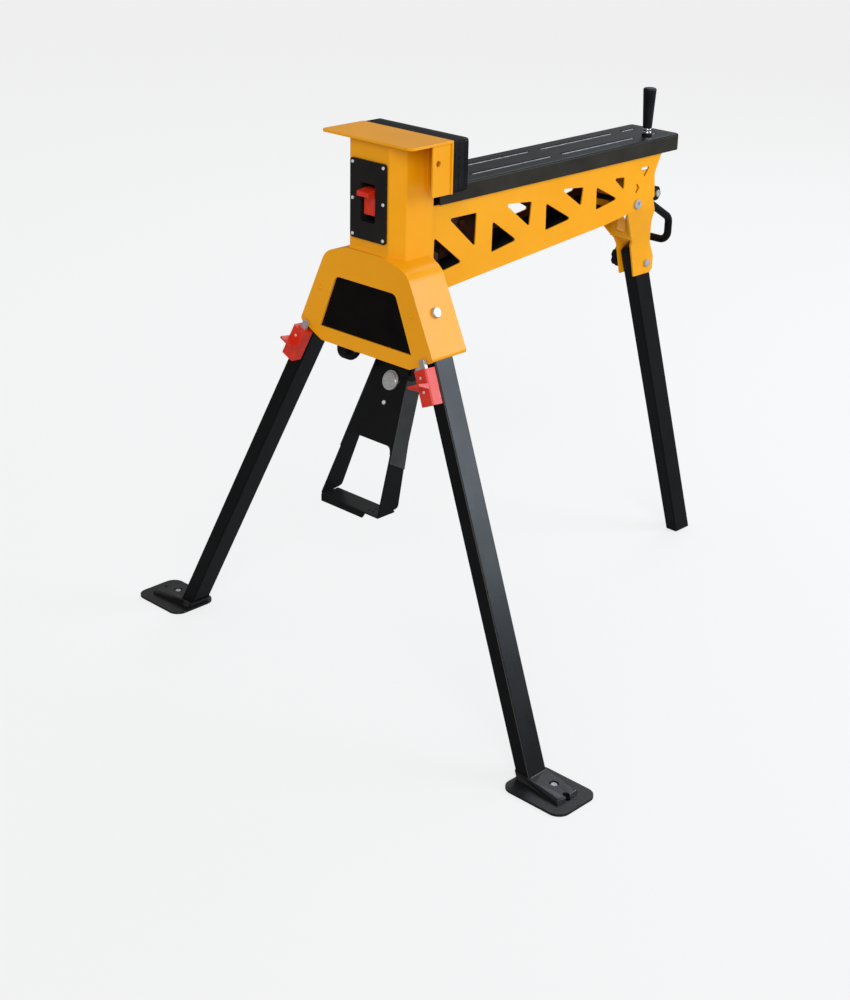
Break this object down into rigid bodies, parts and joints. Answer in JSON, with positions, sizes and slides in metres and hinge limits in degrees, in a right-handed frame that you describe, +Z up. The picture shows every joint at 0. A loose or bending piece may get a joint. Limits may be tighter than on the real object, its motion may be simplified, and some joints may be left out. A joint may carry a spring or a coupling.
{
  "type": "portable clamping workbench",
  "caption": "Folding foot-operated clamping work stand: yellow truss frame, sliding jaw on a black beam, splayed tubular legs and a hinged foot pedal.",
  "frame": {"origin": "on the floor, in the middle of the footprint of the feet", "axes": "+X across the bench to its right-hand leg, with X = 0 as the plane of symmetry; +Y from the column to the rear leg; +Z up"},
  "size_m": [0.976, 0.9568, 0.8763],
  "materials": {
    "yellow_paint": "gloss",
    "black_sheet": "satin",
    "dark_steel": "satin",
    "black_plastic": "matte",
    "pad_rubber": "matte",
    "grip_rubber": "matte",
    "red_plastic": "gloss",
    "zinc": "satin",
    "bright_plate": "polished"
  },
  "bodies": {
    "frame": {"column_housing": "yellow_paint", "leg_skirt": "yellow_paint", "skirt_panel": "black_sheet", "skirt_rivets": "zinc", "top_plate": "yellow_paint", "fixed_jaw_bracket": "yellow_paint", "fixed_jaw_pad": "pad_rubber", "fixed_pad_screws": "zinc", "switch_plate": "black_plastic", "switch_plate_screws": "zinc", "switch_pin": "zinc", "truss_right": "yellow_paint", "truss_left": "yellow_paint", "beam_tray": "black_sheet", "rear_yoke": "yellow_paint", "yoke_bolt": "zinc", "rear_pivot_bolt": "zinc", "carry_handle": "black_sheet", "carry_bolts": "zinc", "pedal_bracket": "black_sheet", "clutch_bolt": "zinc", "pedal_axle": "zinc", "wheel_brackets": "yellow_paint", "wheel_axles": "zinc", "leg_bolt_right": "zinc", "leg_bolt_left": "zinc", "leg_bracket_right": "yellow_paint", "leg_bracket_left": "yellow_paint"},
    "lever": {"switch_lever": "red_plastic"},
    "pedal": {"pedal_plate": "black_sheet", "pedal_rails": "black_sheet", "pedal_button": "bright_plate", "pedal_rivet": "zinc"},
    "jaw": {"slide_beam": "dark_steel", "slide_runners": "dark_steel", "sliding_jaw_plate": "dark_steel", "sliding_jaw_pad": "pad_rubber", "sliding_pad_screws": "zinc", "handle_foot": "black_plastic", "handle_rings": "bright_plate"},
    "grip": {"handle_grip": "grip_rubber"},
    "rear_leg": {"rear_leg_tube": "black_sheet", "rear_leg_cap": "black_plastic"},
    "knob": {"lock_knob": "black_plastic"},
    "wheel_r": {"wheel_right": "black_plastic"},
    "wheel_l": {"wheel_left": "black_plastic"},
    "leg_right": {"front_leg_right": "black_sheet", "front_foot_right": "black_plastic", "foot_screw_right": "zinc", "latch_guide_right": "black_sheet"},
    "latch_right": {"latch_body_right": "red_plastic", "latch_bolt_right": "zinc", "latch_rivets_right": "zinc"},
    "leg_left": {"front_leg_left": "black_sheet", "front_foot_left": "black_plastic", "foot_screw_left": "zinc", "latch_guide_left": "black_sheet"},
    "latch_left": {"latch_body_left": "red_plastic", "latch_bolt_left": "zinc", "latch_rivets_left": "zinc"}
  },
  "joints": [
    {"name": "jaw_slide", "type": "slide", "parent": "frame", "child": "jaw", "axis": [0, 1, 0], "range_m": [0, 0.43]},
    {"name": "grip_turn", "type": "hinge", "parent": "jaw", "child": "grip", "pos_m": [0.026, 0.23413, 0.84], "axis": [0, 0, 1], "continuous": true},
    {"name": "lever_flip", "type": "hinge", "parent": "frame", "child": "lever", "pos_m": [0, -0.37487, 0.7805], "axis": [1, 0, 0], "range_deg": [0, 60]},
    {"name": "pedal_press", "type": "hinge", "parent": "frame", "child": "pedal", "pos_m": [0, -0.32687, 0.606], "axis": [1, 0, 0], "range_deg": [0, 27], "stiffness_Nm_per_rad": 6, "springref_deg": -22.92},
    {"name": "rear_leg_fold", "type": "hinge", "parent": "frame", "child": "rear_leg", "pos_m": [0, 0.27013, 0.57], "axis": [1, 0, 0], "range_deg": [-107.5, 0]},
    {"name": "knob_turn", "type": "hinge", "parent": "frame", "child": "knob", "pos_m": [-0.028, 0.27013, 0.57], "axis": [1, 0, 0], "continuous": true},
    {"name": "wheel_spin_right", "type": "hinge", "parent": "frame", "child": "wheel_r", "pos_m": [0.066, -0.36177, 0.54], "axis": [1, 0, 0], "continuous": true},
    {"name": "wheel_spin_left", "type": "hinge", "parent": "frame", "child": "wheel_l", "pos_m": [-0.066, -0.36177, 0.54], "axis": [1, 0, 0], "continuous": true},
    {"name": "front_leg_fold_right", "type": "hinge", "parent": "frame", "child": "leg_right", "pos_m": [0.0983, -0.36177, 0.6285], "axis": [0.9048, 0, 0.4258], "range_deg": [0, 96]},
    {"name": "latch_pull_right", "type": "slide", "parent": "leg_right", "child": "latch_right", "axis": [0.4239, -0.0941, -0.9008], "range_m": [0, 0.012], "stiffness_N_per_m": 800, "springref_m": -0.004},
    {"name": "front_leg_fold_left", "type": "hinge", "parent": "frame", "child": "leg_left", "pos_m": [-0.0983, -0.36177, 0.6285], "axis": [0.9048, 0, -0.4258], "range_deg": [0, 96]},
    {"name": "latch_pull_left", "type": "slide", "parent": "leg_left", "child": "latch_left", "axis": [-0.4239, -0.0941, -0.9008], "range_m": [0, 0.012], "stiffness_N_per_m": 800, "springref_m": -0.004}
  ]
}
